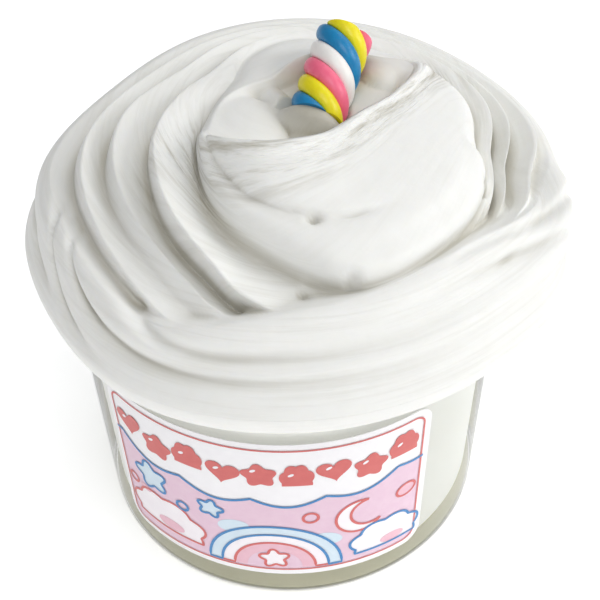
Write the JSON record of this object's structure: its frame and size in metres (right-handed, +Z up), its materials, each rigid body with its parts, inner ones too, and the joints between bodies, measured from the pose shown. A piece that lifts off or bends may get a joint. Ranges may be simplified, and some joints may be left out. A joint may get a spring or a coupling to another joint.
{
  "type": "tub of marshmallow play slime",
  "caption": "Clear tub overflowing with white twirled marshmallow play slime, a paper label on its wall and a small twist of coloured clay on top.",
  "frame": {"origin": "middle of the tub's flat underside", "axes": "+Z up out of the tub's mouth, -Y towards the front, where the label is"},
  "size_m": [0.1039, 0.1034, 0.1022],
  "materials": {
    "tub": "clear moulded polystyrene",
    "slime": "satin, soft and fluffy",
    "label": "printed coated paper",
    "pink_clay": "baked clay, satin",
    "yellow_clay": "baked clay, satin",
    "blue_clay": "baked clay, satin",
    "white_clay": "baked clay, satin"
  },
  "bodies": {
    "root": {"tub": "tub", "slime": "slime", "label": "label", "twist_pink": "pink_clay", "twist_yellow": "yellow_clay", "twist_blue": "blue_clay", "twist_white": "white_clay"}
  },
  "joints": []
}
